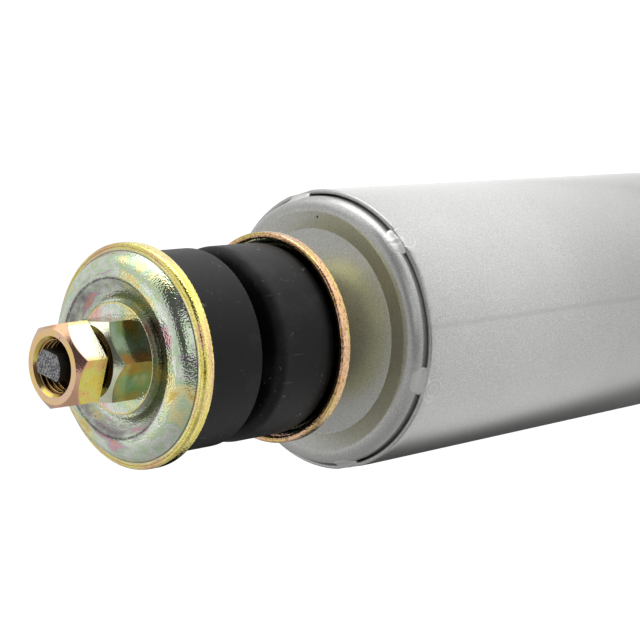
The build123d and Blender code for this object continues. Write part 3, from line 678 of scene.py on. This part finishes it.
def tack_bead(name, centre, seed):
    """Small smeared bead across the gap between the cap's shoulder and the edge of the tube."""
    shoulder = radius_of("dust_cap") - CAP_CORNER
    path = []
    for slope in (48, 34, 20, 8):
        a = math.radians(slope)
        path.append((shoulder + CAP_CORNER * math.cos(a), CAP_TOP - CAP_CORNER + CAP_CORNER * math.sin(a)))
    for radius, rise in ((32.45, 0.35), (32.9, -0.1), (33.25, -0.9), (33.42, -2.0)):
        path.append((radius * MM, DUST_TOP + rise * MM))
    rows, columns = 33, len(path)
    top, bottom = [], []
    for i in range(rows):
        u = 2.0 * i / (rows - 1) - 1.0
        upper, lower = [], []
        for j, (radius, height) in enumerate(path):
            v = 2.0 * j / (columns - 1) - 1.0
            waist = TACK_HALF * (1.0 - 0.25 * v * v)
            degrees = centre + u * waist * (1.0 + 0.12 * noise.noise(Vector((v * 2.0, seed, 0.0))))
            swell = max(0.0, 1.0 - u ** 4) * max(0.0, 1.0 - v ** 4)
            rough = 0.015 * math.sin(u * 16.0 + v * 3.0) + 0.09 * noise.noise(Vector((u * 3.0, v * 2.0, seed)))
            lift = (0.17 * swell + rough * swell - 0.10 * (1.0 - swell)) * MM
            upper.append(on_axis(radius + lift * 0.75, degrees, height + lift * 0.65))
            lower.append(on_axis(radius - 0.35 * MM, degrees, height - 0.35 * MM))
        top.append(upper)
        bottom.append(lower)
    return grid_solid(name, top, bottom, weld_paint, "rod")


for number, angle in enumerate(TACK_ANGLES):
    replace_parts(tack_bead(f"tack_bead_{number + 1}", angle, 3.7 * number), "tack_welds")


def ripple(along, across, seed):
    """Height of a weld's ripples, from 0 to 1: arcs one after the other, each a little different."""
    wave = 0.5 + 0.5 * math.sin(2 * math.pi * along + 1.6 * across * across)
    return 0.75 * wave + 0.25 * (0.5 + 0.5 * noise.noise(Vector((along * 0.7, across, seed))))


SEAM_LOW, SEAM_TOP = bottom_of("base_seam_weld"), top_of("base_seam_weld")
SEAM_RADIUS = radius_of("base_seam_weld")
SEAM_SIZE = SEAM_TOP - SEAM_LOW
SEAM_RIPPLES = 110                              # ripples in a whole turn


def seam_profile(degrees):
    """Outline of the fillet weld below the edge of the reserve tube."""
    points = [(SEAM_RADIUS - SEAM_SIZE, SEAM_TOP), (SEAM_RADIUS - SEAM_SIZE, SEAM_LOW)]
    for step in range(1, 8):
        share = step / 8
        swell = math.sin(math.pi * share)
        level = ripple(degrees / 360.0 * SEAM_RIPPLES, 2 * share - 1, 5.0)
        out = (0.10 + 0.16 * level) * swell * SEAM_SIZE * 0.6
        points.append((SEAM_RADIUS - SEAM_SIZE * (1 - share) + out, SEAM_LOW + SEAM_SIZE * share - out))
    points.append((SEAM_RADIUS, SEAM_TOP))
    return points


seam_bead = turned_shell(
    "seam_bead", seam_profile, 8 * SEAM_RIPPLES, by_slot["silver_paint"], "damper_body"
)
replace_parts(seam_bead, "base_seam_weld")

EYE_RADIUS = radius_of("eye_ring")
EYE_WELD_LEG = 2.5 * MM
EYE_WELD_PITCH = 1.6 * MM                       # from one ripple to the next
EYE_WELD_TOP, EYE_WELD_HALF = top_of("eye_weld"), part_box("eye_weld")[1].y


def eye_bead(name, side, seed):
    """Fillet weld between the flank of the eye ring and the base cup, along Y."""
    root = EYE_RADIUS * math.sqrt(0.5)
    rows, columns = 121, 9
    top, bottom = [], []
    for i in range(rows):
        u = 2.0 * i / (rows - 1) - 1.0
        full = max(0.15, 1.0 - abs(u) ** 10)
        upper, lower = [], []
        for j in range(columns):
            v = 2.0 * j / (columns - 1) - 1.0
            share = j / (columns - 1)
            x = root + EYE_WELD_LEG * full * (1 - share)
            z = EYE_WELD_TOP - (EYE_WELD_TOP - root) * full * share
            swell = (1 - v * v) * full
            out = (0.25 + 0.35 * ripple(u * EYE_WELD_HALF / EYE_WELD_PITCH, v, seed)) * swell * MM
            y = u * EYE_WELD_HALF
            upper.append((side * (x + out * 0.8), y, z - out * 0.3))
            under = EYE_WELD_TOP - (EYE_WELD_TOP - root) * share
            lower.append((side * (root - 1.0 * MM * (1 - share)), y, under))
        top.append(upper)
        bottom.append(lower)
    return grid_solid(name, top, bottom, by_slot["silver_paint"], "damper_body")


for number, side in enumerate((1.0, -1.0)):
    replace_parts(eye_bead(f"eye_bead_{number + 1}", side, 9.0 + number), "eye_weld")


# The check springs shorten when the plates lift; each is a piece of its own, with its own copy of the mesh
for name, node, joint, body in (
    ("piston_coil", "piston_check_spring", "piston_plate_lift", "rod"),
    ("base_coil", "base_check_spring", "base_plate_lift", "damper_body"),
):
    mesh = nodes[node].data.copy()
    mesh.materials.clear()
    coil = add_piece(name, mesh, by_slot["plain_steel"], body)
    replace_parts(coil, node)
    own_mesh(coil)


# Camera, fitted to the round outlines in the photograph
IMAGE_SIZE = 640
FOCAL_LENGTH = 1730         # in pixels of the photograph
SENSOR = 36.0
camera_data = bpy.data.cameras.new("camera")
camera_data.sensor_width = SENSOR
camera_data.lens = SENSOR * FOCAL_LENGTH / IMAGE_SIZE
camera_data.clip_start = 0.01
camera_data.clip_end = 20.0
camera = bpy.data.objects.new("camera", camera_data)
bpy.context.scene.collection.objects.link(camera)
right = Vector((-0.0627, -0.7184, -0.6928)).normalized()
forward = Vector((-0.0648, 0.6956, -0.7155)).normalized()
up = right.cross(forward).normalized()
turn = Matrix((right, up, -forward)).transposed()
camera.matrix_world = Matrix.Translation(Vector((0.0292, -0.2869, 0.8435))) @ turn.to_4x4()
bpy.context.scene.camera = camera

# Floor
FLOOR_HALF = 6
DARK_TURN = 124.0           # middle of the floor's painted shadow in reflections, in degrees from X
floor_z = cad_box[0].z
corners = [(x * FLOOR_HALF, y * FLOOR_HALF, floor_z) for x, y in ((-1, -1), (1, -1), (1, 1), (-1, 1))]
floor_mesh = bpy.data.meshes.new("floor")
floor_mesh.from_pydata(corners, [], [(0, 1, 2, 3)])
floor_mesh.materials.append(white_floor("white_floor", DARK_TURN))
floor = bpy.data.objects.new("floor", floor_mesh)
bpy.context.scene.collection.objects.link(floor)

# World: white to the camera, soft light on the object. Reflections meet a pale studio that is dark behind the
# camera and has a bright softbox on the +X side.
world = bpy.data.worlds.new("studio")
bpy.context.scene.world = world
studio = Graph(world)
seen, mirror = studio.ray_kinds()
direction = studio.add("ShaderNodeTexCoord", out=0)
side = studio.parts(direction)[0]


def studio_patch(azimuth, elevation, half_width, half_height, soft):
    """1 inside an elliptical patch of the studio, 0 outside it; angles in degrees."""
    around_z, above = math.radians(azimuth), math.radians(elevation)
    flat = Vector((math.cos(around_z), math.sin(around_z), 0.0))
    centre = flat * math.cos(above) + Vector((0.0, 0.0, math.sin(above)))
    wide = Vector((-flat.y, flat.x, 0.0)) / math.sin(math.radians(half_width))
    tall = centre.cross(wide).normalized() / math.sin(math.radians(half_height))
    squares = [studio.math("POWER", studio.dot(direction, way), 2.0) for way in (wide, tall)]
    inside = studio.spread(studio.math("ADD", *squares), 1.0 - soft, 1.0 + soft, 1.0, 0.0)
    before = studio.math("GREATER_THAN", studio.dot(direction, centre), 0.0)
    return studio.math("MULTIPLY", inside, before)


def light(strength):
    return studio.add("ShaderNodeBackground", {"Color": WHITE, "Strength": strength})


DARKEST = 0.06
level = studio.spread(side, -0.98, -0.3, 0.5, 0.85)
for patch, strength in (
    (studio_patch(-62.0, 26.0, 52.0, 44.0, 0.15), -0.74),
    (studio_patch(18.0, 6.0, 26.0, 34.0, 0.3), 0.95),
    (studio_patch(93.0, 58.0, 17.0, 13.0, 0.5), 0.5),
):
    level = studio.math("MULTIPLY_ADD", patch, strength, level)
glossy = light(studio.math("MAXIMUM", level, DARKEST))
plain = light(studio.spread(side, -1.0, 1.0, 0.10, 0.60))
surface = studio.add("ShaderNodeMixShader", {0: mirror, 1: plain, 2: glossy})
studio.surface(studio.add("ShaderNodeMixShader", {0: seen, 1: surface, 2: light(1.0)}), "ShaderNodeOutputWorld")


# Lights
def softbox(name, centre, target, width, height, power):
    data = bpy.data.lights.new(name, "AREA")
    data.shape = "RECTANGLE"
    data.size = width
    data.size_y = height
    data.energy = power
    lamp = bpy.data.objects.new(name, data)
    lamp.location = centre
    lamp.rotation_mode = "QUATERNION"
    lamp.rotation_quaternion = (Vector(target) - Vector(centre)).to_track_quat("-Z", "Y")
    bpy.context.scene.collection.objects.link(lamp)


middle = (0.0, 0.0, 0.55)
softbox("key", (1.1, 0.0, 0.35), middle, 1.0, 0.7, 6.0)
softbox("front", (0.3, -1.1, 0.9), middle, 0.8, 0.8, 2.0)

bpy.context.scene.view_settings.view_transform = "Standard"
